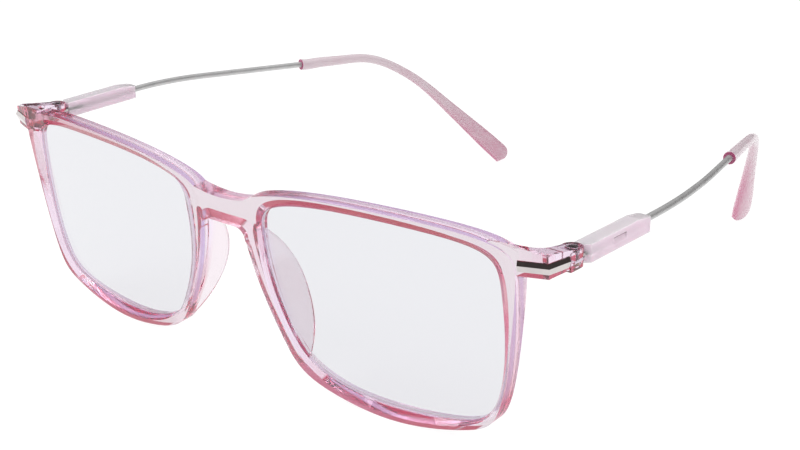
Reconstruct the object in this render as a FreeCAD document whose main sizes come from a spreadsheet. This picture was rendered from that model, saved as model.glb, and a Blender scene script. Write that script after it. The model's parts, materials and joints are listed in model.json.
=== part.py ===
# Spectacles with a one-piece clear moulded front, metal corner trims and wire temples.
# Units are millimetres, +Z up, -Y is the side the wearer looks towards, +X the wearer's left.
# The model rests on its lower rims and on the two temple tips.
import math
import os

import FreeCAD, Part
import Sketcher
from FreeCAD import Placement, Rotation, Vector

os.makedirs("parts", exist_ok=True)
doc = FreeCAD.newDocument("glasses")

# ---------------------------------------------------------------- driving dimensions
sheet = doc.addObject("Spreadsheet::Sheet", "Dims")
DIMS = [
    ("lean", 4.8),              # how far the top of the front leans forward, degrees
    ("lift", 21.74),            # height of the front's datum above the table
    ("set_fore", 69.29),        # front datum to the middle of the folded-out length
    ("bow_radius", 435.0),      # radius of the front's bow seen from above
    ("rim_depth", 3.4),         # front to back thickness of the rims
    ("bevel_depth", 1.2),       # depth of the sloping face in front of the lens
    ("lens_thick", 1.5),
    ("lens_tuck", 0.7),         # how far the lens edge sits inside its groove
    ("groove_play", 0.03),
    ("hinge_x", 72.2),          # hinge axis, in the front's own axes
    ("hinge_y", 16.5),
    ("hinge_z", 14.85),
    ("knuckle_rad", 2.0),
    ("slot_gap", 0.6),          # gap between the two knuckles
    ("upper_knuckle", 1.7),
    ("lower_knuckle", 1.25),
    ("screw_rad", 0.58),
    ("screw_head_rad", 1.1),
    ("screw_head_high", 0.6),
    ("screw_tip_rad", 0.5),
    ("hole_play", 0.02),
    ("eye_play", 0.05),
    ("insert_rad", 1.0),
    ("insert_high", 0.65),
    ("tongue_thick", 0.5),
    ("tongue_rad", 1.45),
    ("tongue_wide", 2.2),
    ("tongue_long", 6.5),
    ("sleeve_start", 2.45),
    ("sleeve_long", 20.25),
    ("sleeve_high", 3.5),
    ("sleeve_in", 1.25),        # hinge axis to the sleeve's inner face
    ("sleeve_out", 1.8),        # hinge axis to the sleeve's outer face
    ("panel_deep", 0.3),
    ("rod_rad", 0.7),
    ("trim_high", 2.1),
    ("trim_proud", 0.5),        # height of the trim's ridge above the plastic
    ("trim_edge", 0.12),        # height of its long edges above the plastic
    ("trim_ridge", 0.2),        # how far the ridge lies above the trim's middle
    ("tip_end_wide", 3.1),      # half-width of the ear tip's rounded end
    ("tip_end_long", 2.3),      # length of that rounding
    ("tip_twist", 20.0),        # turn of the paddle towards the outside, degrees
    ("pad_thick", 1.7),
    ("pad_flare", 0.1),         # outward flare of the nose pads per millimetre of depth
]
for row, (word, value) in enumerate(DIMS, start=1):
    sheet.set("A%d" % row, word)
    sheet.set("B%d" % row, str(value))
    sheet.setAlias("B%d" % row, word)
doc.recompute()


def dim(word):
    return float(getattr(sheet, word))


LEAN, LIFT, FORE = dim("lean"), dim("lift"), dim("set_fore")
BOW, DEPTH = dim("bow_radius"), dim("rim_depth")
HX, HY, HZ = dim("hinge_x"), dim("hinge_y"), dim("hinge_z")

# ---------------------------------------------------------------- placements
front_place = Placement(Vector(0, -FORE, LIFT), Rotation(Vector(1, 0, 0), LEAN))
hinge_left = front_place.multVec(Vector(HX, HY, HZ))
hinge_right = Vector(-hinge_left.x, hinge_left.y, hinge_left.z)
UPRIGHT = Rotation(Vector(1, 0, 0), -LEAN)      # turns the front's axes back to the table's
SIDES = (("left", 1, hinge_left), ("right", -1, hinge_right))

# ---------------------------------------------------------------- outlines, wearer's left rim
# Control points of closed cubic splines, seen from the front (x, z) in the front's own axes.
RIM_OUTLINE = [(66.5, -0.9), (68.5, 13.8), (68.5, 20.2), (50.0, 21.7), (23.8, 21.2), (6.6, 18.2),
               (5.1, 14.1), (8.1, 0.1), (13.9, -11.7), (17.4, -18.0), (27.8, -21.0),
               (41.6, -22.8), (58.6, -19.1), (63.5, -16.0)]
BEVEL_OUTLINE = [(66.4, -1.1), (67.0, 12.7), (65.0, 18.9), (51.1, 21.1), (22.8, 21.0),
                 (10.4, 17.8), (9.9, 12.1), (9.7, 1.3), (15.3, -11.7), (19.4, -16.1),
                 (27.6, -20.4), (42.0, -21.5), (56.3, -19.2), (63.2, -14.7)]
LENS_OUTLINE = [(65.1, -0.8), (64.6, 11.6), (63.8, 18.0), (49.2, 19.2), (24.9, 19.2),
                (10.8, 16.3), (10.0, 11.5), (10.2, 0.5), (15.2, -11.3), (19.6, -16.0),
                (28.8, -19.3), (41.2, -19.7), (55.8, -18.5), (62.7, -15.0)]
LENS_MIDDLE = (37.4, -0.2)
LENS_HALF = (27.4, 19.3)


def closed_spline(points):
    """Closed cubic spline on the given control points."""
    curve = Part.BSplineCurve()
    count = len(points)
    curve.buildFromPolesMultsKnots(points, [1] * (count + 1), list(range(count + 1)), True, 3)
    return curve


def grown(points, by):
    """The lens outline moved outwards by about the given distance all round."""
    cx, cz = LENS_MIDDLE
    kx, kz = 1 + by / LENS_HALF[0], 1 + by / LENS_HALF[1]
    return [(cx + (x - cx) * kx, cz + (z - cz) * kz) for x, z in points]


def bow(x):
    """Depth of the bowed front surface at a distance x from the middle."""
    return BOW - math.sqrt(BOW * BOW - x * x)


def outline_wire(points, side, depth, follow_bow):
    """The outline as a wire, flat at y = depth or laid on the bow behind the front surface."""
    flat = closed_spline([Vector(side * x, 0, z) for x, z in points])
    first, last = flat.FirstParameter, flat.LastParameter
    steps = 8 * len(points)
    pts = []
    for i in range(steps):
        p = flat.value(first + (last - first) * i / steps)
        pts.append(Vector(p.x, (bow(p.x) if follow_bow else 0) + depth, p.z))
    lifted = Part.BSplineCurve()
    lifted.interpolate(Points=pts, PeriodicFlag=True)
    low, high = lifted.FirstParameter, lifted.LastParameter
    quarter = (high - low) / 4
    return Part.Wire([lifted.toShape(low + i * quarter, low + (i + 1) * quarter) for i in range(4)])


# ---------------------------------------------------------------- helpers
def new_body(name):
    return doc.addObject("PartDesign::Body", name)


def own_plane(body, role):
    for feature in body.Origin.OriginFeatures:
        if getattr(feature, "Role", "") == role:
            return feature
    raise RuntimeError(role)


def new_sketch(body, name, role):
    sketch = body.newObject("Sketcher::SketchObject", name)
    sketch.AttachmentSupport = [(own_plane(body, role), "")]
    sketch.MapMode = "FlatFace"
    return sketch


def polygon(sketch, points):
    """Closed polygon of lines through sketch points."""
    count = len(points)
    for i in range(count):
        a, b = points[i], points[(i + 1) % count]
        sketch.addGeometry(Part.LineSegment(Vector(a[0], a[1], 0), Vector(b[0], b[1], 0)), False)
    for i in range(count):
        sketch.addConstraint(Sketcher.Constraint("Coincident", i, 2, (i + 1) % count, 1))


def pad(body, sketch, name, length):
    """Pad a sketch to both sides of its plane."""
    made = body.newObject("PartDesign::Pad", name)
    made.Profile = sketch
    made.Length = length
    made.Midplane = True
    return made


def pocket_through(body, sketch, name):
    made = body.newObject("PartDesign::Pocket", name)
    made.Profile = sketch
    made.Type = "ThroughAll"
    made.Midplane = True
    return made


def feature(name, shape):
    obj = doc.addObject("Part::Feature", name)
    obj.Shape = shape
    return obj


def box(name, corner, size):
    obj = doc.addObject("Part::Box", name)
    obj.Length, obj.Width, obj.Height = size
    obj.Placement = Placement(Vector(*corner), Rotation())
    return obj


def cylinder(name, radius, height, place, radius_from=None, height_from=None):
    obj = doc.addObject("Part::Cylinder", name)
    obj.Radius, obj.Height = radius, height
    obj.Placement = place
    if radius_from:
        obj.setExpression("Radius", radius_from)
    if height_from:
        obj.setExpression("Height", height_from)
    return obj


def cut(name, base, tool):
    obj = doc.addObject("Part::Cut", name)
    obj.Base, obj.Tool = base, tool
    return obj


def common(name, base, tool):
    obj = doc.addObject("Part::Common", name)
    obj.Base, obj.Tool = base, tool
    return obj


def fuse(name, shapes):
    obj = doc.addObject("Part::MultiFuse", name)
    obj.Shapes = shapes
    return obj


# ---------------------------------------------------------------- front moulding
# Rims and bridge are padded from the front view, then cut to the bow from above.
front = new_body("FrontBlank")
for tag, side in (("Left", 1), ("Right", -1)):
    # The front view plane's own x runs along +X and its own y along +Z.
    sk = new_sketch(front, "Rim%sOutline" % tag, "XZ_Plane")
    sk.addGeometry(closed_spline([Vector(side * x, z, 0) for x, z in RIM_OUTLINE]), False)
    pad(front, sk, "Rim%s" % tag, 40)
    doc.recompute()

sk = new_sketch(front, "BridgeOutline", "XZ_Plane")
line = Part.LineSegment
top = Part.Arc(Vector(-9.6, 17.5, 0), Vector(0, 16.1, 0), Vector(9.6, 17.5, 0))
corner_l = Part.Arc(Vector(-3.6, 10.65, 0), Vector(-5.6, 9.95, 0), Vector(-6.3, 8.2, 0))
corner_r = Part.Arc(Vector(3.6, 10.65, 0), Vector(5.6, 9.95, 0), Vector(6.3, 8.2, 0))
pieces = [top, line(Vector(9.6, 17.5, 0), Vector(9.6, 6.0, 0)),
          line(Vector(9.6, 6.0, 0), Vector(8.0, 5.6, 0)),
          line(Vector(8.0, 5.6, 0), Vector(6.3, 8.2, 0)), corner_r,
          line(Vector(3.6, 10.65, 0), Vector(-3.6, 10.65, 0)), corner_l,
          line(Vector(-6.3, 8.2, 0), Vector(-8.0, 5.6, 0)),
          line(Vector(-8.0, 5.6, 0), Vector(-9.6, 6.0, 0)),
          line(Vector(-9.6, 6.0, 0), Vector(-9.6, 17.5, 0))]
for piece in pieces:
    sk.addGeometry(piece, False)
pad(front, sk, "Bridge", 40)
doc.recompute()

sk = new_sketch(front, "FrontBow", "XY_Plane")
edge = 82.0
sk.addGeometry(Part.Arc(Vector(-edge, bow(edge), 0), Vector(0, 0, 0), Vector(edge, bow(edge), 0)), False)
for a, b in (((edge, bow(edge)), (edge, -30)), ((edge, -30), (-edge, -30)),
             ((-edge, -30), (-edge, bow(edge)))):
    sk.addGeometry(line(Vector(a[0], a[1], 0), Vector(b[0], b[1], 0)), False)
pocket_through(front, sk, "FrontBowCut")
doc.recompute()

sk = new_sketch(front, "RearBow", "XY_Plane")
rear = BOW - DEPTH
sag = BOW - math.sqrt(rear * rear - edge * edge)
sk.addGeometry(Part.Arc(Vector(-edge, sag, 0), Vector(0, DEPTH, 0), Vector(edge, sag, 0)), False)
for a, b in (((edge, sag), (edge, 40)), ((edge, 40), (-edge, 40)), ((-edge, 40), (-edge, sag))):
    sk.addGeometry(line(Vector(a[0], a[1], 0), Vector(b[0], b[1], 0)), False)
pocket_through(front, sk, "RearBowCut")
doc.recompute()

# Chamfer along the back of the nose arch: this is its line on the rims' back face.
NOSE_EDGE = [(22.5, -24.5), (18.6, -19.6), (16.6, -14.9), (14.9, -11.7), (12.95, -7.4),
             (11.0, -2.4), (9.2, 2.7), (8.05, 6.9)]


def nose_section(depth, side_shift, top_shift):
    right = [Vector(x + side_shift, depth, z) for x, z in NOSE_EDGE]
    left = [Vector(-p.x, p.y, p.z) for p in reversed(right)]
    side_r = Part.BSplineCurve()
    side_r.interpolate(right)
    side_l = Part.BSplineCurve()
    side_l.interpolate(left)
    top_z = 12.4 + top_shift
    ar, al = right[-1], left[0]
    br, bl = Vector(ar.x - 3.2, depth, top_z), Vector(al.x + 3.2, depth, top_z)
    mid_r = Vector(ar.x - 0.75, depth, top_z - 1.15)
    mid_l = Vector(-mid_r.x, depth, mid_r.z)
    return Part.Wire([side_r.toShape(), Part.Arc(ar, mid_r, br).toShape(),
                      Part.LineSegment(br, bl).toShape(), Part.Arc(bl, mid_l, al).toShape(),
                      side_l.toShape(), Part.LineSegment(left[-1], right[0]).toShape()])


nose_cut = feature("NoseChamfer", Part.makeLoft([nose_section(1.9, -1.5, -2.0),
                                                nose_section(3.7, 0.3, -0.2)], True, True))

# Lens openings: straight down to the bow, a sloping face, then straight through.
openings, grooves, lenses = [], [], {}
for tag, side in (("Left", 1), ("Right", -1)):
    ring = Part.makeLoft([outline_wire(BEVEL_OUTLINE, side, -8, False),
                          outline_wire(BEVEL_OUTLINE, side, -0.02, True),
                          outline_wire(LENS_OUTLINE, side, dim("bevel_depth"), True),
                          outline_wire(LENS_OUTLINE, side, 16, False)], True, True)
    openings.append(feature("Opening%s" % tag, ring))


def shell_body(name, near, far):
    """A bowed sheet, large enough for either lens, between two depths behind the front face."""
    body = new_body(name)
    sk = new_sketch(body, name + "Sketch", "XY_Plane")
    sags = []
    for depth in (near, far):
        radius = BOW - depth
        sags.append(BOW - math.sqrt(radius * radius - edge * edge))
    for sag_at, depth in zip(sags, (near, far)):
        sk.addGeometry(Part.Arc(Vector(-edge, sag_at, 0), Vector(0, depth, 0),
                                Vector(edge, sag_at, 0)), False)
    for x in (-edge, edge):
        sk.addGeometry(line(Vector(x, sags[0], 0), Vector(x, sags[1], 0)), False)
    pad(body, sk, name + "Pad", 60)
    return body


def bevelled_plug(name, side, extra):
    """Lens outline as a long plug with a ridge round it where the lens edge is bevelled."""
    near, far = dim("bevel_depth"), dim("bevel_depth") + dim("lens_thick")
    tuck = dim("lens_tuck") + extra
    ring = [(tuck - 0.6, -8, False), (tuck - 0.6, near - 0.15, True), (tuck, near + 0.45, True),
            (tuck, far - 0.45, True), (tuck - 0.6, far + 0.15, True), (tuck - 0.6, 16, False)]
    wires = [outline_wire(grown(LENS_OUTLINE, by), side, depth, bowed) for by, depth, bowed in ring]
    return feature(name, Part.makeLoft(wires, True, True))


near, far, play = dim("bevel_depth"), dim("bevel_depth") + dim("lens_thick"), dim("groove_play")
lens_sheet = shell_body("LensSheet", near, far)
groove_sheet = shell_body("GrooveSheet", near - play, far + play)
for tag, side in (("Left", 1), ("Right", -1)):
    lenses[tag] = common("Lens" + tag, lens_sheet, bevelled_plug("LensPlug" + tag, side, 0.0))
    grooves.append(common("Groove" + tag, groove_sheet, bevelled_plug("GroovePlug" + tag, side, play)))
doc.recompute()

# ---------------------------------------------------------------- end pieces and hinge knuckles
# Top view of the end piece: it runs on from the rim and turns back to the hinge.
LUG_TOP = [(63.0, bow(63.0) + 0.3), (68.5, 5.6), (74.0, 7.4), (74.0, 17.0), (73.4, 17.6),
           (71.0, 17.6), (70.5, 17.0), (70.5, 11.4), (69.4, 9.6), (67.4, 8.7),
           (63.0, bow(63.0) + 3.1)]
# Front view and side view of the same piece.
LUG_FRONT = [(62.0, 20.3), (66.4, 20.95), (75.0, 18.7), (75.0, 13.0), (70.6, 13.2), (67.4, 11.0),
             (62.0, 10.0)]
LUG_SIDE = [(0.0, 24.0), (4.8, 21.0), (8.0, 19.2), (16.0, 17.0), (19.0, 16.2), (19.0, 13.1),
            (14.0, 14.0), (8.0, 14.75), (0.0, 14.9)]
lugs, drilled = [], {}
for tag, side, hinge in SIDES:
    cap = tag.capitalize()
    parts = []
    for view, role, pts, long in (("Top", "XY_Plane", [(side * x, y) for x, y in LUG_TOP], 60),
                                  ("Front", "XZ_Plane", [(side * x, z) for x, z in LUG_FRONT], 60),
                                  ("Side", "YZ_Plane", LUG_SIDE, 180)):
        body = new_body("Lug%s%s" % (view, cap))
        sk = new_sketch(body, "Lug%s%sSketch" % (view, cap), role)
        polygon(sk, pts)
        pad(body, sk, "Lug%s%sPad" % (view, cap), long)
        parts.append(body)
    lug = doc.addObject("Part::MultiCommon", "Lug" + cap)
    lug.Shapes = parts
    doc.recompute()
    lugs.append(lug)

knuckles, hinge_cuts = [], []
half_gap = dim("slot_gap") / 2
for tag, side, hinge in SIDES:
    cap = tag.capitalize()
    centre = Vector(side * HX, HY, HZ)

    def at_hinge(x, y, z):
        """A point given from the hinge centre along the table's axes, in the front's axes."""
        return Placement(centre, UPRIGHT).multVec(Vector(x, y, z))

    low = -half_gap - dim("lower_knuckle")
    tall = dim("upper_knuckle") + dim("lower_knuckle") + dim("slot_gap")
    barrel = cylinder("Knuckle" + cap, dim("knuckle_rad"), tall,
                      Placement(at_hinge(0, 0, low), UPRIGHT), "Dims.knuckle_rad",
                      "Dims.upper_knuckle + Dims.lower_knuckle + Dims.slot_gap")
    neck = doc.addObject("Part::Box", "Neck" + cap)
    neck.Length, neck.Width, neck.Height = 2 * dim("knuckle_rad"), 3.0, tall
    neck.Placement = Placement(at_hinge(-dim("knuckle_rad"), -3.0, low), UPRIGHT)
    neck.setExpression("Length", "2 * Dims.knuckle_rad")
    neck.setExpression("Height", "Dims.upper_knuckle + Dims.lower_knuckle + Dims.slot_gap")
    knuckles += [barrel, neck]
    slot = doc.addObject("Part::Box", "Slot" + cap)
    slot.Length, slot.Width, slot.Height = 8.0, 6.0, dim("slot_gap")
    slot.Placement = Placement(at_hinge(-4.0, -1.9, -half_gap), UPRIGHT)
    slot.setExpression("Height", "Dims.slot_gap")
    clear = cylinder("ShankHole" + cap, dim("screw_rad") + dim("hole_play"), 8.0,
                     Placement(at_hinge(0, 0, -4.0), UPRIGHT), "Dims.screw_rad + Dims.hole_play")
    seat_low = half_gap + dim("upper_knuckle") - dim("screw_head_high")
    seat = cylinder("HeadSeat" + cap, dim("screw_head_rad") + dim("hole_play"), 3.0,
                    Placement(at_hinge(0, 0, seat_low), UPRIGHT), "Dims.screw_head_rad + Dims.hole_play")
    pocket_low = low + 0.3
    nest = cylinder("InsertSeat" + cap, dim("insert_rad"), dim("insert_high"),
                    Placement(at_hinge(0, 0, pocket_low), UPRIGHT), "Dims.insert_rad", "Dims.insert_high")
    hinge_cuts += [slot, clear, seat, nest]

# ---------------------------------------------------------------- nose pads
# Each pad is a sheet that follows the nose side of the rim, flares outwards towards the back
# and is cut to a D shape seen from the side.
PAD_LINE = [(7.1, 13.0), (7.0, 9.0), (7.6, 4.8), (9.0, -0.6), (10.9, -5.8), (13.1, -10.3),
            (15.4, -14.4), (17.8, -17.4)]
PAD_SIDE = [(3.0, 12.2), (4.2, 10.6), (6.9, 7.4), (9.3, 3.0), (10.3, -1.8), (9.9, -6.6),
            (8.1, -11.2), (5.3, -14.6), (3.0, -16.4)]
pads = []
flare, thick = dim("pad_flare"), dim("pad_thick")
for tag, side, hinge in SIDES:
    cap = tag.capitalize()
    inner = Part.BSplineCurve()
    inner.interpolate([Vector(side * x, 0, z) for x, z in PAD_LINE])
    outer = Part.BSplineCurve()
    outer.interpolate([Vector(side * (x + thick), 0, z) for x, z in PAD_LINE])
    first, last = PAD_LINE[0], PAD_LINE[-1]
    ends = [Part.LineSegment(Vector(side * x, 0, z), Vector(side * (x + thick), 0, z)).toShape()
            for x, z in (first, last)]
    band = Part.Wire(Part.__sortEdges__([inner.toShape(), outer.toShape()] + ends))
    sheet_solid = feature("PadSheet" + cap, Part.Face(band).extrude(Vector(side * flare * 14, 14, 0)))
    body = new_body("PadShape" + cap)
    sk = new_sketch(body, "PadShape%sSketch" % cap, "YZ_Plane")
    rim_side = Part.BSplineCurve()
    rim_side.interpolate([Vector(y, z, 0) for y, z in PAD_SIDE])
    sk.addGeometry(rim_side, False)
    a, b = PAD_SIDE[0], PAD_SIDE[-1]
    sk.addGeometry(line(Vector(b[0], b[1], 0), Vector(a[0], a[1], 0)), False)
    pad(body, sk, "PadShape%sPad" % cap, 60)
    doc.recompute()
    blunt = common("NosePadBlunt" + cap, sheet_solid, body)
    doc.recompute()
    # Round the two long edges round the free end of the pad.
    rounded = doc.addObject("Part::Fillet", "NosePad" + cap)
    rounded.Base = blunt
    rounded.Edges = [(i + 1, 0.6, 0.6) for i, e in enumerate(blunt.Shape.Edges)
                     if e.BoundBox.ZLength > 15 and e.BoundBox.YMax > 8]
    doc.recompute()
    pads.append(rounded)
doc.recompute()

# ---------------------------------------------------------------- trims
# Pressed corner plate: two arms with a ridge along the middle, mitred on the corner,
# and a stud behind each arm.
CORNER = Vector(74.0, 7.4, 16.75)
ARM_IN = Vector(-5.5, -1.8, 0.0).normalize()         # along the front of the end piece
ARM_BACK = Vector(0.0, 1.0, -0.174).normalize()      # along its outer side
OUT_FRONT = Vector(1.8, -5.5, 0.0).normalize()
OUT_SIDE = Vector(1.0, 0.0, 0.0)
ARMS = ((ARM_IN, OUT_FRONT, 5.6), (ARM_BACK, OUT_SIDE, 5.8))
TRIM_SINK = 0.12                # how deep the plate is let into the plastic
STUD_RAD, STUD_LONG = 0.45, 1.6
STUD_PLACE = 0.62               # where each stud stands, as a share of its arm's length


def trim_arm(along, out, length):
    """A ridged bar from just past the corner to the arm's end."""
    up = out.cross(along).normalize()
    if up.z < 0:
        up = -up
    half, proud, edge = dim("trim_high") / 2, dim("trim_proud"), dim("trim_edge")
    start = CORNER - along * 1.5
    shape_pts = [(-TRIM_SINK, -half), (edge, -half), (proud, dim("trim_ridge")), (edge, half),
                 (-TRIM_SINK, half)]
    pts = [start + out * d + up * z for d, z in shape_pts]
    return Part.Face(Part.makePolygon(pts + pts[:1])).extrude(along * (length + 1.5))


def mitre_side(along):
    """A large block holding everything on one arm's side of the corner's mitre plane."""
    block = Part.makeBox(60, 60, 60, Vector(-30, 0, -30))
    normal = (ARM_IN - ARM_BACK) if along is ARM_IN else (ARM_BACK - ARM_IN)
    normal = Vector(normal.x, normal.y, 0).normalize()
    block.Placement = Placement(CORNER, Rotation(Vector(0, 1, 0), normal))
    return block


def trim_shape():
    """The left-hand trim with its two studs; the same shape cuts its bed in the plastic."""
    plates = [trim_arm(along, out, length).common(mitre_side(along)) for along, out, length in ARMS]
    studs = []
    for along, out, length in ARMS:
        root = CORNER + along * (length * STUD_PLACE) + out * (0.05 - STUD_LONG)
        studs.append(Part.makeCylinder(STUD_RAD, STUD_LONG, root, out))
    return plates[0].fuse([plates[1]] + studs).removeSplitter()


trim_left = trim_shape()


def for_side(shape, side):
    return shape if side > 0 else shape.mirror(Vector(0, 0, 0), Vector(1, 0, 0))


trim_beds = [feature("TrimBed" + tag.capitalize(), for_side(trim_left, side)) for tag, side, hinge in SIDES]

# ---------------------------------------------------------------- the finished front
rims = fuse("FrontRims", [front] + lugs + knuckles)
removed = fuse("FrontRemoved", openings + grooves + [nose_cut] + hinge_cuts + trim_beds)
opened = cut("FrontOpened", rims, removed)
doc.recompute()
front_frame = fuse("front_frame", [opened] + pads)
doc.recompute()

nodes = [("front_frame", front_frame, front_place)]
for tag, side, hinge in SIDES:
    cap = tag.capitalize()
    nodes.append(("lens_" + tag, lenses[cap], front_place))
    trim = feature("corner_trim_" + tag, for_side(trim_left, side))
    nodes.append(("corner_trim_" + tag, trim, front_place))

# ---------------------------------------------------------------- screws and inserts
# These and the temple parts are modelled about the hinge centre, upright on the table.
for tag, side, hinge in SIDES:
    cap = tag.capitalize()
    top_z = half_gap + dim("upper_knuckle")
    head_low = top_z - dim("screw_head_high")
    step_z = low + 0.3 + dim("insert_high")
    head = cylinder("ScrewHead" + cap, dim("screw_head_rad"), dim("screw_head_high") - 0.05,
                    Placement(Vector(0, 0, head_low), Rotation()), "Dims.screw_head_rad",
                    "Dims.screw_head_high - 0.05")
    shank = cylinder("ScrewShank" + cap, dim("screw_rad"), head_low - step_z,
                     Placement(Vector(0, 0, step_z), Rotation()), "Dims.screw_rad")
    thread = cylinder("ScrewThread" + cap, dim("screw_tip_rad"), dim("insert_high") + 0.1,
                      Placement(Vector(0, 0, low + 0.2), Rotation()), "Dims.screw_tip_rad",
                      "Dims.insert_high + 0.1")
    drive = box("ScrewSlot" + cap, (-1.5, -0.16, top_z - 0.3), (3.0, 0.32, 1.0))
    whole = fuse("ScrewWhole" + cap, [head, shank, thread])
    nodes.append(("hinge_screw_" + tag, cut("hinge_screw_" + tag, whole, drive),
                  Placement(hinge, Rotation())))
    nut = cylinder("InsertOuter" + cap, dim("insert_rad"), dim("insert_high"),
                   Placement(Vector(0, 0, low + 0.3), Rotation()), "Dims.insert_rad", "Dims.insert_high")
    hole = cylinder("InsertBore" + cap, dim("screw_tip_rad"), 3.0,
                    Placement(Vector(0, 0, low - 0.5), Rotation()), "Dims.screw_tip_rad")
    nodes.append(("hinge_insert_" + tag, cut("hinge_insert_" + tag, nut, hole),
                  Placement(hinge, Rotation())))

# ---------------------------------------------------------------- temples
# Corners of the wire's centre line from the hinge tongue to the ear, measured from the hinge
# centre with inwards negative, and the bend radius at each inner corner.
WIRE = [((0.0, 6.5, 0.0), 0), ((0.0, 33.0, 0.0), 85), ((-4.4, 52.0, -1.5), 200),
        ((-15.3, 91.3, -4.2), 24), ((-20.9, 102.0, -11.2), 52), ((-34.8, 123.3, -36.76), 0)]
TIP_START = 70.3                # distance behind the hinge centre where the ear tip begins
PANEL_FROM = 10.3               # distance behind the hinge centre where the sleeve's panel begins
PANEL_LONG = 4.0
WIRE_SPARE = 6.0                # how far short of the tip's end the wire stops
# Half-width and half-thickness of the ear tip at even steps along it.
TIP = [(1.38, 1.34), (1.3, 1.27), (1.22, 1.19), (1.15, 1.13), (1.1, 1.08), (1.08, 1.06), (1.09, 1.07),
       (1.14, 1.1), (1.25, 1.14), (1.44, 1.19), (1.72, 1.26), (2.06, 1.34), (2.44, 1.4),
       (2.8, 1.44), (3.04, 1.44), (3.12, 1.38)]


def wire_runs(side):
    """The centre line as a list of straight and curved runs."""
    points = [Vector(side * x, y, z) for (x, y, z), radius in WIRE]
    runs, at = [], points[0]
    for i in range(1, len(points) - 1):
        before = (points[i] - points[i - 1]).normalize()
        after = (points[i + 1] - points[i]).normalize()
        turn = before.getAngle(after)
        back = WIRE[i][1] * math.tan(turn / 2)
        start, end = points[i] - before * back, points[i] + after * back
        inward = (after - before).normalize()
        middle = points[i] + inward * (WIRE[i][1] / math.cos(turn / 2) - WIRE[i][1])
        runs.append(Part.LineSegment(at, start))
        runs.append(Part.Arc(start, middle, end))
        at = end
    runs.append(Part.LineSegment(at, points[-1]))
    return runs


def tip_frame(runs, distance, side):
    """Placement on the centre line: X across the paddle, Y through its thickness, Z along it."""
    centre, along = along_runs(runs, distance)
    outward = Vector(side, 0, 0)
    outward = (outward - along * outward.dot(along)).normalize()
    upright_way = outward.cross(along).normalize()
    if upright_way.z < 0:
        upright_way = -upright_way
    twist = math.radians(dim("tip_twist"))
    across = upright_way * math.cos(twist) + outward * math.sin(twist)
    thin_way = along.cross(across)
    return Placement(FreeCAD.Matrix(across.x, thin_way.x, along.x, centre.x,
                                    across.y, thin_way.y, along.y, centre.y,
                                    across.z, thin_way.z, along.z, centre.z, 0, 0, 0, 1))


def along_runs(runs, distance):
    """Point and direction at a distance along the centre line."""
    for run in runs:
        long = run.length()
        if distance <= long or run is runs[-1]:
            at = run.parameterAtDistance(min(distance, long), run.FirstParameter)
            return run.value(at), run.tangent(at)[0]
        distance -= long


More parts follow.
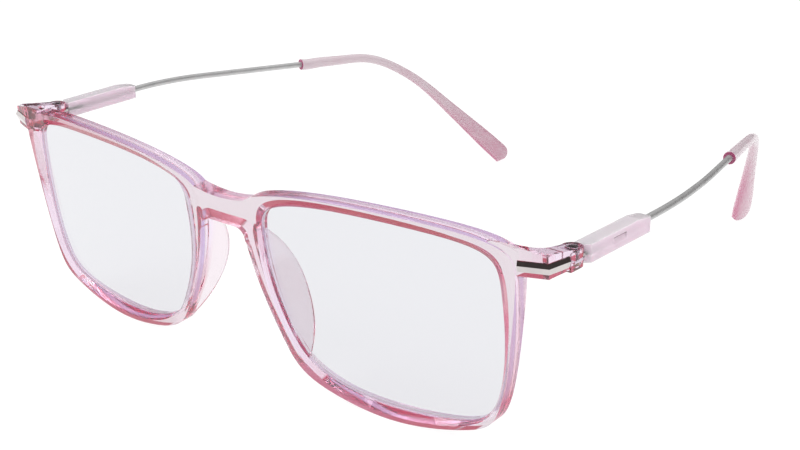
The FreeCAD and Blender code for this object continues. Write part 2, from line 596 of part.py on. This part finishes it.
for tag, side, hinge in SIDES:
    cap = tag.capitalize()
    upright = Placement(hinge, Rotation())
    runs = wire_runs(side)
    length = sum(run.length() for run in runs)
    # Hinge tongue: an eye round the screw with a flat tail let into the sleeve.
    leaf = dim("tongue_thick")
    eye = cylinder("TongueEye" + cap, dim("tongue_rad"), leaf,
                   Placement(Vector(0, 0, -leaf / 2), Rotation()), "Dims.tongue_rad", "Dims.tongue_thick")
    tail = doc.addObject("Part::Box", "TongueTail" + cap)
    tail.Length, tail.Width, tail.Height = dim("tongue_wide"), dim("tongue_long"), leaf
    tail.Placement = Placement(Vector(-dim("tongue_wide") / 2, 0, -leaf / 2), Rotation())
    for prop, word in (("Length", "tongue_wide"), ("Width", "tongue_long"), ("Height", "tongue_thick")):
        tail.setExpression(prop, "Dims." + word)
    pivot = cylinder("TongueHole" + cap, dim("screw_rad") + dim("eye_play"), 4.0,
                     Placement(Vector(0, 0, -2.0), Rotation()), "Dims.screw_rad + Dims.eye_play")
    tongue = cut("hinge_tongue_" + tag, fuse("TongueBlank" + cap, [eye, tail]), pivot)
    doc.recompute()

    # Wire: round bar swept along the centre line.
    last = runs[-1]
    stop = last.parameterAtDistance(last.length() - WIRE_SPARE, last.FirstParameter)
    path = Part.Wire([run.toShape() for run in runs[:-1]]
                     + [Part.LineSegment(last.StartPoint, last.value(stop)).toShape()])
    point, heading = along_runs(runs, 0)
    ring = Part.Wire(Part.Circle(point, heading, dim("rod_rad")).toShape())
    rod = feature("temple_rod_" + tag, path.makePipeShell([ring], True, False))

    # Sleeve: a bar round the tongue and the wire.
    out_x, in_x = dim("sleeve_out"), dim("sleeve_in")
    y0, y1 = dim("sleeve_start"), dim("sleeve_start") + dim("sleeve_long")
    body = new_body("SleeveBar" + cap)
    sk = new_sketch(body, "SleevePlan" + cap, "XY_Plane")
    plan = [(-in_x, y0), (out_x - 0.9, y0), (out_x, y0 + 0.9), (out_x, y1 - 0.5), (out_x - 0.5, y1),
            (-in_x + 0.5, y1), (-in_x, y1 - 0.5)]
    polygon(sk, [(side * x, y) for x, y in plan])
    bar = pad(body, sk, "SleevePad" + cap, dim("sleeve_high"))
    bar.setExpression("Length", "Dims.sleeve_high")
    doc.recompute()
    # Slope on the top at the rear end.
    half = dim("sleeve_high") / 2
    sk = new_sketch(body, "SleeveEndSlope" + cap, "YZ_Plane")
    polygon(sk, [(y1 - 4.0, half), (y1 + 1.0, half - 0.75), (y1 + 1.0, half + 2), (y1 - 4.0, half + 2)])
    pocket_through(body, sk, "SleeveEndCut" + cap)
    doc.recompute()
    # Blank panel on the outer face: it slopes in from its lower edge to a step at its upper edge.
    deep = dim("panel_deep")
    panel_pts = [(out_x + 1, -0.6), (out_x, -0.6), (out_x - deep, 0.65), (out_x + 1, 0.65)]
    panel_face = Part.Face(Part.makePolygon([Vector(side * x, PANEL_FROM, z) for x, z in
                                             panel_pts + panel_pts[:1]]))
    panel = feature("SleevePanel" + cap, panel_face.extrude(Vector(0, PANEL_LONG, 0)))
    hollow = fuse("SleeveHollow" + cap, [rod, tongue, panel])
    sleeve = cut("temple_sleeve_" + tag, body, hollow)
    doc.recompute()

    # Ear tip: sections along the centre line, round at the front and a flat paddle at the end.
    sections = []
    tip_from = next(d * 0.1 for d in range(int(length * 10))
                    if along_runs(runs, d * 0.1)[0].y > TIP_START)
    for step, (wide, thin) in enumerate(TIP):
        ring = Part.Ellipse(Vector(0, 0, 0), max(wide, thin) + 0.001, min(wide, thin)).toShape()
        ring.Placement = tip_frame(runs, tip_from + (length - tip_from) * step / (len(TIP) - 1), side)
        sections.append(Part.Wire(ring))
    tip_solid = Part.makeLoft(sections, True, False)
    # Round the paddle's end, then let the wire in.
    tip_plain = feature("TipPlain" + cap, tip_solid)
    end_wide, end_long = dim("tip_end_wide"), dim("tip_end_long")
    turned = tip_frame(runs, length - end_long, side)
    block = doc.addObject("Part::Box", "TipEndBlock" + cap)
    block.Length, block.Width, block.Height = 12.0, 8.0, 4.0
    block.Placement = turned.multiply(Placement(Vector(-6, -4, 0), Rotation()))
    oval = Part.Ellipse(Vector(0, 0, 0), end_wide, end_long).toShape()
    drum_shape = Part.Face(Part.Wire(oval)).extrude(Vector(0, 0, 10))
    drum_shape.Placement = turned.multiply(Placement(Vector(0, 5, 0), Rotation(Vector(1, 0, 0), 90)))
    drum = feature("TipEndDrum" + cap, drum_shape)
    tip_blank = cut("TipBlank" + cap, tip_plain, cut("TipEndCutter" + cap, block, drum))
    tip = cut("temple_tip_" + tag, tip_blank, rod)
    doc.recompute()
    for name, obj in (("temple_sleeve_", sleeve), ("temple_rod_", rod), ("hinge_tongue_", tongue),
                      ("temple_tip_", tip)):
        nodes.append((name + tag, obj, upright))

# ---------------------------------------------------------------- placing, checks and export
doc.recompute()
finished = []
for name, obj, place in nodes:
    obj.Label = name + "_shape"
    out = doc.addObject("Part::Feature", "node_" + name)
    out.Shape = obj.Shape
    out.Placement = place.multiply(obj.Placement) if obj.isDerivedFrom("Part::Feature") else place
    out.Label = name
    finished.append((name, out))
doc.recompute()
for obj in doc.Objects:
    if "Invalid" in obj.State or "Error" in obj.State:
        raise RuntimeError("bad object " + obj.Name)
for name, out in finished:
    shape = out.Shape
    if shape.isNull() or not shape.isValid() or len(shape.Solids) != 1:
        raise RuntimeError("bad shape %s %s" % (name, len(shape.Solids)))
    bb = shape.BoundBox
    print("%-22s vol %9.2f  x %7.2f %7.2f  y %7.2f %7.2f  z %7.2f %7.2f" % (
        name, shape.Volume, bb.XMin, bb.XMax, bb.YMin, bb.YMax, bb.ZMin, bb.ZMax))
    shape.exportStep("parts/%s.step" % name)
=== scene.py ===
"""Looks for clear pink spectacles with slim wire temples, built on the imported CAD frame."""

import json
import math

import bpy
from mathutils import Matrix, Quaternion, Vector


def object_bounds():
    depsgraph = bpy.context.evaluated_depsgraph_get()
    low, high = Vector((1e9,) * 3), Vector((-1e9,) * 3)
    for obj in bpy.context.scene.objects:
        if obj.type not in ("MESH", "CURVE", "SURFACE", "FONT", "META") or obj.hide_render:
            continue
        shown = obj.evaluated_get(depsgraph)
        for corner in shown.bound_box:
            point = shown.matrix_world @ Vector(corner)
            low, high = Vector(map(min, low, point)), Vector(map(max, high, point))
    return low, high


MM = 0.001
SIDES = ("left", "right")

# Nose pads, which stand behind the rims near the middle.
PAD_BEHIND = -66 * MM           # depth at which they start
PAD_BLEND = 1.5 * MM            # depth over which the rims' look goes over to theirs
PAD_REACH = (20 * MM, 22 * MM)  # distance from the middle at which they end

# The sleeve's panel, measured from the hinge, and the painted shadow line along its upper edge.
PANEL_OUT = 1.65 * MM
PANEL_MIDDLE = 12.3 * MM
PANEL_HALF = 2 * MM
PANEL_TOP = 0.65 * MM
SHADOW_LINE_DEEP = 0.5 * MM            # half of the painted shadow line's size across the sleeve
SHADOW_LINE_HIGH = 0.11 * MM           # half of the painted shadow line's height

# Ear tips, as heights above the floor.
TIP_DEEPEST = 4 * MM            # below this the colour is at its deepest
TIP_PALEST = 34 * MM            # above this it is at its palest
TIP_FRONT = (32 * MM, 33 * MM)  # above this a face that looks forward is the tip's cut front

TRAPPED_AFTER = 8               # bounces after which light counts as trapped inside a clear piece and a painted glow shows instead

# Sockets of a Mix node that mixes colours.
MIX_FACTOR, MIX_FIRST, MIX_SECOND, MIX_RESULT = 0, 6, 7, 2


# ---------------------------------------------------------------- node helpers


def new_material(name):
    """A node material with only its output; returns (material, node tree, output)."""
    material = bpy.data.materials.new(name)
    material.use_nodes = True
    tree = material.node_tree
    tree.nodes.clear()
    output = tree.nodes.new("ShaderNodeOutputMaterial")
    return material, tree, output


def node(tree, kind, sockets=None, **settings):
    """A node of that kind, with its settings and the values of its unlinked sockets."""
    made = tree.nodes.new(kind)
    for key, value in settings.items():
        setattr(made, key, value)
    for key, value in (sockets or {}).items():
        made.inputs[key].default_value = value
    return made


def link(tree, source, socket):
    """Joins an output to an input."""
    tree.links.new(source, socket)


def axes(tree, coordinate):
    """The x, y and z of a texture coordinate, such as Object or Normal."""
    place = node(tree, "ShaderNodeTexCoord")
    split = node(tree, "ShaderNodeSeparateXYZ")
    link(tree, place.outputs[coordinate], split.inputs[0])
    return [split.outputs[name] for name in "XYZ"]


def noise(tree, size, detail=2.0, rough=0.5):
    """Noise fixed to the object, whose features are about size metres across."""
    place = node(tree, "ShaderNodeTexCoord")
    made = node(
        tree, "ShaderNodeTexNoise", {"Scale": 1 / size, "Detail": detail, "Roughness": rough}
    )
    link(tree, place.outputs["Object"], made.inputs["Vector"])
    return made.outputs["Fac"]


def between(tree, value, low, high, start=0.3, end=0.7):
    """The value's range start to end spread over low to high."""
    made = node(
        tree,
        "ShaderNodeMapRange",
        {"From Min": start, "From Max": end, "To Min": low, "To Max": high},
    )
    link(tree, value, made.inputs["Value"])
    return made.outputs["Result"]


def maths(tree, operation, *values):
    """A maths node on outputs and plain numbers."""
    made = node(tree, "ShaderNodeMath", operation=operation)
    for socket, value in zip(made.inputs, values):
        if isinstance(value, (int, float)):
            socket.default_value = value
        else:
            link(tree, value, socket)
    return made.outputs[0]


def bump(tree, height, depth, strength):
    """A bump normal from a 0 to 1 height that is depth metres deep."""
    made = node(tree, "ShaderNodeBump", {"Strength": strength, "Distance": depth})
    link(tree, height, made.inputs["Height"])
    return made.outputs["Normal"]


def mix_colours(tree, amount, first, second):
    """Goes from the first colour to the second; each is a plain colour or a colour output."""
    made = node(tree, "ShaderNodeMix", data_type="RGBA")
    link(tree, amount, made.inputs[MIX_FACTOR])
    for slot, colour in ((MIX_FIRST, first), (MIX_SECOND, second)):
        if isinstance(colour, tuple):
            made.inputs[slot].default_value = (*colour, 1)
        else:
            link(tree, colour, made.inputs[slot])
    return made.outputs[MIX_RESULT]


def ramp_colours(tree, value, stops):
    """The colour that a 0 to 1 value has along stops, which are (place, colour) pairs."""
    ramp = node(tree, "ShaderNodeValToRGB")
    elements = ramp.color_ramp.elements
    for element, (place, colour) in zip(elements, (stops[0], stops[-1])):
        element.position = place
        element.color = (*colour, 1)
    for place, colour in stops[1:-1]:
        elements.new(place).color = (*colour, 1)
    link(tree, value, ramp.inputs[0])
    return ramp.outputs["Color"]


def painted_glow_when_trapped(tree, material, shader, colour):
    """A painted glow: light that has bounced many times inside comes out in one deep colour, given
    by an emission.
    """
    path = node(tree, "ShaderNodeLightPath")
    trapped = maths(tree, "GREATER_THAN", path.outputs["Ray Depth"], TRAPPED_AFTER)
    glow = node(tree, "ShaderNodeEmission", {"Color": (*colour, 1), "Strength": 1.0})
    choose = node(tree, "ShaderNodeMixShader")
    link(tree, trapped, choose.inputs[0])
    link(tree, shader, choose.inputs[1])
    link(tree, glow.outputs[0], choose.inputs[2])
    material.cycles.emission_sampling = "NONE"
    return choose.outputs[0]


def dress(name, material):
    """Gives a CAD node its material."""
    slots = frame["nodes"][name].data.materials
    slots.clear()
    slots.append(material)


# ---------------------------------------------------------------- materials


def clear_pink():
    """Polished clear pink-tinted plastic with painted reflections and shade: grey-pink on flat
    faces, lavender on sides, crimson at a slant.
    """
    material, tree, output = new_material("clear_pink_plastic")
    across, depth, _ = axes(tree, "Object")
    _, forward, upward = axes(tree, "Normal")
    # The colour depends on how flat a face lies to the front or the back: sides are 0, flat ones 1.
    # The lavender sides and grey flat faces are painted reflections of the surroundings.
    drift = between(tree, noise(tree, 6 * MM), -0.02, 0.02)
    flatness = maths(tree, "ADD", maths(tree, "ABSOLUTE", forward), drift)
    side_to_flat = (
        (0.0, (0.9, 0.86, 0.97)),
        (0.15, (0.91, 0.85, 0.96)),
        (0.4, (0.9, 0.74, 0.86)),
        (0.88, (0.9, 0.74, 0.84)),
        (0.94, (0.78, 0.77, 0.8)),
        (1.0, (0.78, 0.78, 0.8)),
    )
    by_face = ramp_colours(tree, flatness, side_to_flat)
    # Faces seen at a slant are painted crimson, except the upward ones: painted shade for the dark
    # surroundings that bent light finds.
    slant = node(tree, "ShaderNodeLayerWeight", {"Blend": 0.5})
    steep = between(tree, slant.outputs["Facing"], 0, 1, start=0.47, end=0.64)
    not_up = between(tree, upward, 1, 0, start=0.2, end=0.6)
    crimson = maths(tree, "MULTIPLY", steep, not_up)
    # The pink tint with the painted reflections and the painted crimson shade laid over it.
    tint_with_painted_light = mix_colours(tree, crimson, by_face, (0.54, 0.025, 0.08))
    # The nose pads are clearer than the rest.
    behind = between(tree, depth, 0, 1, start=PAD_BEHIND, end=PAD_BEHIND + PAD_BLEND)
    near_nose = between(tree, maths(tree, "ABSOLUTE", across), 1, 0, *PAD_REACH)
    on_pad = maths(tree, "MULTIPLY", behind, near_nose)
    body = node(
        tree,
        "ShaderNodeBsdfPrincipled",
        {"Metallic": 0.0, "IOR": 1.49, "Transmission Weight": 0.94},
    )
    link(tree, mix_colours(tree, on_pad, tint_with_painted_light, (0.94, 0.91, 0.94)), body.inputs["Base Color"])
    # The bridge's top is softly polished, so that what it bends shows blurred.
    smear = between(tree, noise(tree, 4 * MM, detail=3.0), 0.01, 0.04)
    blurred = maths(tree, "MULTIPLY", between(tree, upward, 0, 0.22), near_nose)
    link(tree, maths(tree, "ADD", smear, blurred), body.inputs["Roughness"])
    waves = bump(tree, noise(tree, 7 * MM, detail=1.0), depth=0.02 * MM, strength=0.4)
    link(tree, waves, body.inputs["Normal"])
    dye = node(
        tree, "ShaderNodeVolumeAbsorption", {"Color": (0.97, 0.5, 0.68, 1), "Density": 60.0}
    )
    surface = painted_glow_when_trapped(tree, material, body.outputs["BSDF"], (0.62, 0.06, 0.14))
    link(tree, surface, output.inputs["Surface"])
    link(tree, dye.outputs["Volume"], output.inputs["Volume"])
    return material


def coated_lens():
    """Clear lens with a faint grey-blue cast and a violet residual reflection."""
    material, tree, output = new_material("coated_lens")
    # The edge that sits in the rim's groove is ground, so it is lavender and less smooth.
    forward = maths(tree, "ABSOLUTE", axes(tree, "Normal")[1])
    ground = between(tree, forward, 1, 0, start=0.85, end=0.93)
    body = node(
        tree,
        "ShaderNodeBsdfPrincipled",
        {
            "IOR": 1.5,
            "Transmission Weight": 1.0,
            "Thin Film Thickness": 110.0,
            "Thin Film IOR": 1.38,
        },
    )
    colour = mix_colours(tree, ground, (0.79, 0.795, 0.825), (0.78, 0.71, 0.87))
    link(tree, colour, body.inputs["Base Color"])
    smear = between(tree, noise(tree, 9 * MM, detail=3.0), 0.0, 0.02)
    rough = maths(tree, "ADD", smear, maths(tree, "MULTIPLY", ground, 0.3))
    link(tree, rough, body.inputs["Roughness"])
    surface = painted_glow_when_trapped(tree, material, body.outputs["BSDF"], (0.82, 0.75, 0.92))
    link(tree, surface, output.inputs["Surface"])
    return material


def metal(name, colour, dark, rough):
    """Metal with fine marks; its tone drifts from colour to dark, its roughness over a range."""
    material, tree, output = new_material(name)
    fine = noise(tree, 0.3 * MM, detail=3.0, rough=0.6)
    broad = between(tree, noise(tree, 3 * MM), 0, 1)
    body = node(tree, "ShaderNodeBsdfPrincipled", {"Metallic": 1.0})
    link(tree, between(tree, fine, *rough), body.inputs["Roughness"])
    link(tree, mix_colours(tree, broad, colour, dark), body.inputs["Base Color"])
    link(tree, bump(tree, fine, depth=0.004 * MM, strength=0.3), body.inputs["Normal"])
    link(tree, body.outputs["BSDF"], output.inputs["Surface"])
    return material


def cloudy_plastic(name, transmission, radius, rough, colour_maker):
    """Cloudy moulded plastic that light goes into; colour_maker gives its colour output."""
    material, tree, output = new_material(name)
    body = node(
        tree,
        "ShaderNodeBsdfPrincipled",
        {
            "IOR": 1.47,
            "Transmission Weight": transmission,
            "Subsurface Weight": 1.0,
            "Subsurface Radius": (radius, radius, radius),
            "Subsurface Scale": 1.0,
        },
    )
    link(tree, colour_maker(tree), body.inputs["Base Color"])
    swirl = noise(tree, 2 * MM)
    link(tree, between(tree, swirl, *rough), body.inputs["Roughness"])
    link(tree, bump(tree, swirl, depth=0.01 * MM, strength=0.2), body.inputs["Normal"])
    link(tree, body.outputs["BSDF"], output.inputs["Surface"])
    return material


def sleeve_colour(tree):
    """Paler on top than on the sides as painted light from above, with a painted shadow line along
    the upper edge of the panel.
    """
    # Painted light from above: faces that look up get the paler colour; the cloud is random tone.
    upward = between(tree, axes(tree, "Normal")[2], 0, 1, start=0.3, end=0.9)
    cloud = between(tree, noise(tree, 5 * MM, detail=3.0), -0.15, 0.15)
    top_light_and_cloud = maths(tree, "ADD", upward, cloud)
    milky_and_top_light = mix_colours(tree, top_light_and_cloud, (0.93, 0.74, 0.85), (0.97, 0.86, 0.93))
    # A painted shadow line under the panel's overhanging upper step, in a dark colour.
    across, along, height = axes(tree, "Object")
    outward = maths(tree, "ABSOLUTE", across)
    on_painted_shadow_line = maths(tree, "COMPARE", outward, hinge[0] + PANEL_OUT, SHADOW_LINE_DEEP)
    for value, middle, half in (
        (along, hinge[1] + PANEL_MIDDLE, PANEL_HALF),
        (height, hinge[2] + PANEL_TOP, SHADOW_LINE_HIGH),
    ):
        near = maths(tree, "COMPARE", value, middle, half)
        on_painted_shadow_line = maths(tree, "MULTIPLY", on_painted_shadow_line, near)
    return mix_colours(tree, on_painted_shadow_line, milky_and_top_light, (0.16, 0.08, 0.1))


def tip_colour(tree):
    """Deeper towards the tip's end and on the paddle's edges, and magenta on its cut front face."""
    sideways, forward, _ = axes(tree, "Normal")
    height = axes(tree, "Object")[2]
    low = between(tree, height, 1, 0, start=TIP_DEEPEST, end=TIP_PALEST)
    on_edge = between(tree, maths(tree, "ABSOLUTE", sideways), 1, 0.5, start=0.4, end=0.85)
    cloud = between(tree, noise(tree, 6 * MM, detail=3.0), -0.15, 0.15)
    deep = maths(tree, "ADD", maths(tree, "MULTIPLY", low, on_edge), cloud)
    soft = mix_colours(tree, deep, (0.68, 0.58, 0.62), (0.6, 0.24, 0.36))
    facing_front = between(tree, forward, 1, 0, start=-0.9, end=-0.8)
    high = between(tree, height, 0, 1, *TIP_FRONT)
    return mix_colours(tree, maths(tree, "MULTIPLY", facing_front, high), soft, (0.4, 0.1, 0.2))


# ---------------------------------------------------------------- stage


def build_floor(level):
    """A pale floor that runs out of sight."""
    half = 3.0
    mesh = bpy.data.meshes.new("floor")
    mesh.from_pydata(
        [(-half, -half, level), (half, -half, level), (half, half, level), (-half, half, level)],
        [],
        [(0, 1, 2, 3)],
    )
    floor = bpy.data.objects.new("floor", mesh)
    bpy.context.scene.collection.objects.link(floor)
    material, tree, output = new_material("pale_floor")
    glow = node(tree, "ShaderNodeEmission", {"Color": (1, 1, 1, 1), "Strength": 0.93})
    matt = node(tree, "ShaderNodeBsdfDiffuse", {"Color": (0.12, 0.12, 0.12, 1)})
    both = node(tree, "ShaderNodeAddShader")
    link(tree, glow.outputs[0], both.inputs[0])
    link(tree, matt.outputs[0], both.inputs[1])
    link(tree, both.outputs[0], output.inputs["Surface"])
    mesh.materials.append(material)


def build_world():
    """White all round, but mirrored light finds darker walls and bent light a crimson haze."""
    world = bpy.data.worlds.new("studio")
    bpy.context.scene.world = world
    world.use_nodes = True
    tree = world.node_tree
    tree.nodes.clear()
    output = node(tree, "ShaderNodeOutputWorld")
    height = between(tree, axes(tree, "Generated")[2], 0, 1, start=0.42, end=0.75)
    walls = mix_colours(tree, height, (0.06, 0.05, 0.05), (1.0, 1.0, 1.0))
    haze = mix_colours(tree, height, (0.62, 0.05, 0.12), (0.7, 0.16, 0.28))
    path = node(tree, "ShaderNodeLightPath")
    around = mix_colours(tree, path.outputs["Is Transmission Ray"], walls, haze)
    room = node(tree, "ShaderNodeBackground", {"Strength": 1.0})
    link(tree, around, room.inputs["Color"])
    white = node(tree, "ShaderNodeBackground", {"Color": (1, 1, 1, 1), "Strength": 1.0})
    choose = node(tree, "ShaderNodeMixShader")
    link(tree, path.outputs["Is Glossy Ray"], choose.inputs[0])
    link(tree, white.outputs[0], choose.inputs[1])
    link(tree, room.outputs[0], choose.inputs[2])
    link(tree, choose.outputs[0], output.inputs["Surface"])


def build_light(name, place, aim, size, power):
    """A soft rectangular light."""
    data = bpy.data.lights.new(name, "AREA")
    data.shape = "RECTANGLE"
    data.size, data.size_y = size
    data.energy = power
    lamp = bpy.data.objects.new(name, data)
    bpy.context.scene.collection.objects.link(lamp)
    lamp.location = place
    lamp.rotation_mode = "QUATERNION"
    lamp.rotation_quaternion = (Vector(aim) - Vector(place)).to_track_quat("-Z", "Y")


def build_camera():
    """The camera, at the height and angle of a product shot from the front left of the wearer."""
    place = Vector((216.56, -261.45, 141.08)) * MM
    looking = Vector((-0.6195, 0.6982, -0.3588))
    roll = math.radians(-1.42)
    data = bpy.data.cameras.new("camera")
    data.sensor_width = 36.0
    data.lens = 70.4
    data.clip_start = 0.01
    data.clip_end = 20.0
    camera = bpy.data.objects.new("camera", data)
    bpy.context.scene.collection.objects.link(camera)
    camera.location = place
    camera.rotation_mode = "QUATERNION"
    camera.rotation_quaternion = looking.to_track_quat("-Z", "Y") @ Quaternion((0, 0, 1), roll)
    bpy.context.scene.camera = camera


# ---------------------------------------------------------------- scene

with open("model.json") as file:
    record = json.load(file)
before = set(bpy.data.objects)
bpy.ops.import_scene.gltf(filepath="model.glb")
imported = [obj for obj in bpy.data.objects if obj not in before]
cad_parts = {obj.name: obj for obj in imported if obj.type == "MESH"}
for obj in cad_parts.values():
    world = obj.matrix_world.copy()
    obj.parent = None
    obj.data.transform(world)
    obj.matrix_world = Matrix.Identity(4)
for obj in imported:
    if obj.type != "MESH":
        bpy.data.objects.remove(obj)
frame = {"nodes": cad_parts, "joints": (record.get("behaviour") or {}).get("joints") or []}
cad_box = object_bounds()
hinge = next(joint["pos_m"] for joint in frame["joints"] if joint["name"] == "temple_left_fold")

dress("front_frame", clear_pink())
paired_looks = {
    "lens": coated_lens(),
    "corner_trim": metal("trim_chrome", (0.68, 0.63, 0.62), (0.6, 0.56, 0.56), (0.06, 0.14)),
    "hinge_screw": metal("screw_steel", (0.42, 0.38, 0.4), (0.25, 0.22, 0.24), (0.2, 0.35)),
    "hinge_insert": metal("insert_brass", (0.78, 0.6, 0.32), (0.6, 0.44, 0.22), (0.25, 0.4)),
    "hinge_tongue": metal("tongue_steel", (0.62, 0.6, 0.6), (0.5, 0.48, 0.48), (0.22, 0.38)),
    "temple_rod": metal("rod_satin_steel", (0.66, 0.66, 0.66), (0.6, 0.6, 0.6), (0.55, 0.66)),
    "temple_sleeve": cloudy_plastic(
        "sleeve_milky_pink",
        transmission=0.3,
        radius=1.5 * MM,
        rough=(0.12, 0.2),
        colour_maker=sleeve_colour,
    ),
    "temple_tip": cloudy_plastic(
        "tip_soft_pink",
        transmission=0.04,
        radius=0.25 * MM,
        rough=(0.16, 0.24),
        colour_maker=tip_colour,
    ),
}
for piece, look in paired_looks.items():
    for side in SIDES:
        dress(f"{piece}_{side}", look)

build_camera()
build_world()
build_floor(cad_box[0][2])
build_light("key", place=(-0.5, -0.5, 0.7), aim=(0, 0, 0.02), size=(0.6, 0.4), power=3.0)

scene = bpy.context.scene
scene.view_settings.view_transform = "Standard"
scene.cycles.max_bounces = 32
scene.cycles.transmission_bounces = 24
scene.cycles.glossy_bounces = 24
scene.cycles.transparent_max_bounces = 16
scene.cycles.use_denoising = True
